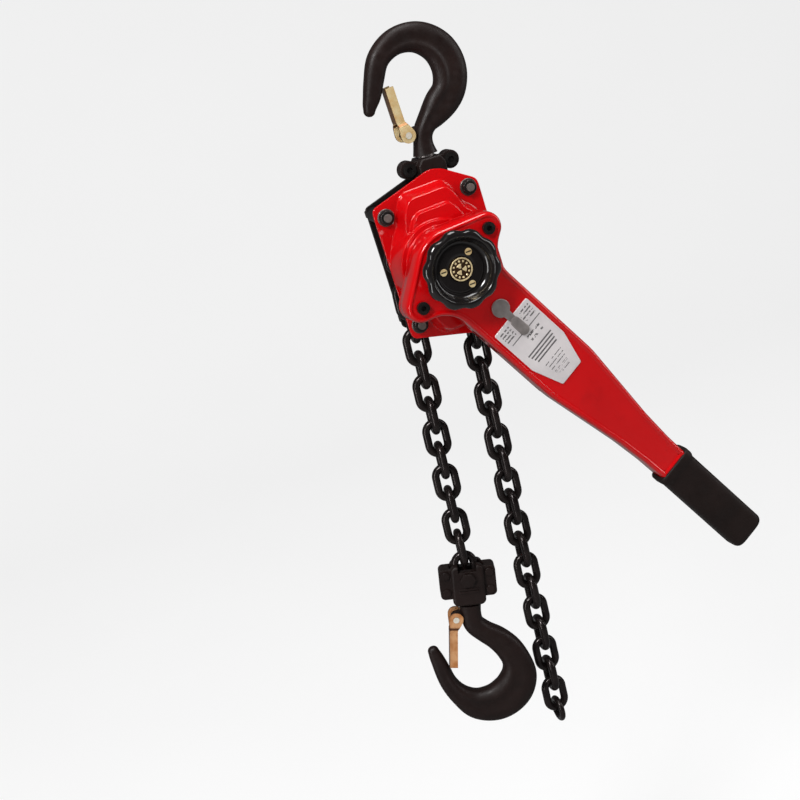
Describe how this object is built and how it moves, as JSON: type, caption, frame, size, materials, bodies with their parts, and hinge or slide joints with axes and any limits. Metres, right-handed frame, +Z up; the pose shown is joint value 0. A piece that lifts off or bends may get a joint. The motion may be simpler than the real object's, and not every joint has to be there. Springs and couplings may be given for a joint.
{
  "type": "lever chain hoist",
  "caption": "Ratchet lever hoist with a top suspension hook, a geared load sheave and brake under red covers, and a load chain that carries a lower hook.",
  "frame": {"origin": "centre of the top hook's bowl, in the plane of the chain", "axes": "+Z up along the hanging line, +X to the right seen from the hand wheel side, +Y from the hand wheel towards the gear cover"},
  "size_m": [0.354, 0.167, 0.7469],
  "materials": {
    "red_paint": "glossy red enamel over pressed steel",
    "black_forging": "black satin paint over a forging",
    "black_paint": "black satin paint on plate",
    "chain_steel": "blackened, oiled alloy steel",
    "dark_fastener": "blackened steel fasteners",
    "zinc_steel": "zinc plated steel",
    "spring_steel": "bare spring steel",
    "gear_steel": "machined gear steel, greased",
    "brass_plate": "yellow zinc plate on pressed steel",
    "bronze": "sintered bronze",
    "wheel_black": "glossy black enamel",
    "grip_rubber": "dark moulded rubber",
    "friction_lining": "pressed brake lining",
    "plate_silver": "printed aluminium plate"
  },
  "bodies": {
    "frame": {"side_plate_front": "black_paint", "side_plate_rear": "black_paint", "frame_stays": "black_paint", "cover_studs": "dark_fastener", "cover_nuts": "dark_fastener", "brake_cover": "red_paint", "gear_cover": "red_paint", "sheave_bushes": "bronze", "disc_gear_bushes": "bronze", "chain_stripper": "black_paint", "guide_pin": "dark_fastener", "top_pin": "dark_fastener", "ratchet_disc": "gear_steel", "friction_discs": "friction_lining", "pawl_pins": "dark_fastener"},
    "drive_shaft": {"pinion_shaft": "gear_steel", "friction_hub": "gear_steel", "change_gear": "gear_steel", "hand_wheel": "wheel_black", "hand_wheel_screws": "brass_plate", "wheel_cap": "brass_plate", "shaft_nut": "dark_fastener"},
    "disc_gear_upper": {"disc_gear_upper": "gear_steel"},
    "disc_gear_lower": {"disc_gear_lower": "gear_steel"},
    "sheave": {"load_sheave": "chain_steel", "load_gear": "gear_steel", "gear_snap_ring": "spring_steel", "sheave_chain": "chain_steel"},
    "pawl_upper": {"pawl_upper": "gear_steel", "pawl_spring_upper": "spring_steel"},
    "pawl_lower": {"pawl_lower": "gear_steel", "pawl_spring_lower": "spring_steel"},
    "guide_roller": {"guide_roller": "zinc_steel"},
    "lever": {"lever_front_shell": "red_paint", "lever_back_plate": "red_paint", "lever_bolts": "dark_fastener", "lever_grip": "grip_rubber", "rating_plate": "plate_silver", "selector_plunger": "zinc_steel", "plunger_spring": "spring_steel"},
    "selector": {"selector_knob": "zinc_steel", "selector_pawl": "gear_steel"},
    "top_yoke": {"top_yoke_front": "black_forging", "top_yoke_rear": "black_forging", "top_yoke_bolts": "dark_fastener"},
    "top_hook": {"top_hook": "black_forging", "top_latch_pin": "brass_plate"},
    "top_latch": {"top_latch": "brass_plate", "top_latch_spring": "spring_steel"},
    "load_chain": {"load_chain": "chain_steel"},
    "bottom_yoke": {"bottom_yoke_front": "black_forging", "bottom_yoke_rear": "black_forging", "bottom_yoke_rivets": "black_forging", "chain_pin": "black_forging"},
    "bottom_hook": {"bottom_hook": "black_forging", "bottom_latch_pin": "brass_plate"},
    "bottom_latch": {"bottom_latch": "brass_plate", "bottom_latch_spring": "spring_steel"},
    "tail_chain": {"tail_chain": "chain_steel", "tail_stop_ring": "chain_steel"}
  },
  "joints": [
    {"name": "sheave_turn", "type": "hinge", "parent": "frame", "child": "sheave", "pos_m": [-0.0226, 0, -0.1702], "axis": [0, 1, 0], "range_deg": [-15, 15]},
    {"name": "drive_turn", "type": "hinge", "parent": "frame", "child": "drive_shaft", "pos_m": [-0.0226, 0, -0.1702], "axis": [0, 1, 0], "range_deg": [-90, 90]},
    {"name": "disc_upper_turn", "type": "hinge", "parent": "frame", "child": "disc_gear_upper", "pos_m": [-0.02495, 0, -0.14029], "axis": [0, 1, 0], "range_deg": [-30, 30]},
    {"name": "disc_lower_turn", "type": "hinge", "parent": "frame", "child": "disc_gear_lower", "pos_m": [-0.02025, 0, -0.20011], "axis": [0, 1, 0], "range_deg": [-30, 30]},
    {"name": "load_chain_lift", "type": "slide", "parent": "frame", "child": "load_chain", "axis": [0, 0, 1], "range_m": [-0.0081, 0.0081]},
    {"name": "tail_chain_run", "type": "slide", "parent": "frame", "child": "tail_chain", "axis": [0, 0, 1], "range_m": [-0.0081, 0.0081]},
    {"name": "pawl_upper_lift", "type": "hinge", "parent": "frame", "child": "pawl_upper", "pos_m": [-0.02179, 0, -0.12951], "axis": [0, -1, 0], "range_deg": [0, 12], "stiffness_Nm_per_rad": 0.02},
    {"name": "pawl_lower_lift", "type": "hinge", "parent": "frame", "child": "pawl_lower", "pos_m": [-0.02341, 0, -0.21089], "axis": [0, -1, 0], "range_deg": [0, 12], "stiffness_Nm_per_rad": 0.02},
    {"name": "guide_roller_turn", "type": "hinge", "parent": "frame", "child": "guide_roller", "pos_m": [0.02934, 0, -0.18016], "axis": [0, 1, 0], "continuous": true},
    {"name": "lever_swing", "type": "hinge", "parent": "frame", "child": "lever", "pos_m": [-0.0226, 0, -0.1702], "axis": [0, 1, 0], "continuous": true},
    {"name": "selector_turn", "type": "hinge", "parent": "lever", "child": "selector", "pos_m": [0.01278, 0, -0.22111], "axis": [0, 1, 0], "range_deg": [-20, 20]},
    {"name": "top_yoke_swing", "type": "hinge", "parent": "frame", "child": "top_yoke", "pos_m": [0, 0, -0.106], "axis": [0, 1, 0], "range_deg": [-15, 15]},
    {"name": "top_hook_swivel", "type": "hinge", "parent": "top_yoke", "child": "top_hook", "pos_m": [0, 0, -0.09], "axis": [0, 0, 1], "continuous": true},
    {"name": "top_latch_open", "type": "hinge", "parent": "top_hook", "child": "top_latch", "pos_m": [-0.0156, 0, -0.0502], "axis": [0, 1, 0], "range_deg": [0, 28], "stiffness_Nm_per_rad": 0.02},
    {"name": "bottom_yoke_swing", "type": "hinge", "parent": "load_chain", "child": "bottom_yoke", "pos_m": [-0.05715, 0, -0.5011], "axis": [0.2756, 0.9613, 0], "range_deg": [-0.8, 10]},
    {"name": "bottom_hook_swivel", "type": "hinge", "parent": "bottom_yoke", "child": "bottom_hook", "pos_m": [-0.05949, 0.00067, -0.52095], "axis": [0.1171, -0.0336, 0.9925], "continuous": true},
    {"name": "bottom_latch_open", "type": "hinge", "parent": "bottom_hook", "child": "bottom_latch", "pos_m": [-0.07757, 0.00586, -0.54282], "axis": [-0.2756, -0.9613, 0], "range_deg": [0, 28], "stiffness_Nm_per_rad": 0.02}
  ],
  "couplings": [
    {"joint": "drive_turn", "follows": "sheave_turn", "ratio": 6},
    {"joint": "disc_upper_turn", "follows": "sheave_turn", "ratio": -2},
    {"joint": "disc_lower_turn", "follows": "sheave_turn", "ratio": -2},
    {"joint": "load_chain_lift", "follows": "sheave_turn", "m_per_rad": 0.03056},
    {"joint": "tail_chain_run", "follows": "sheave_turn", "m_per_rad": -0.03056}
  ]
}
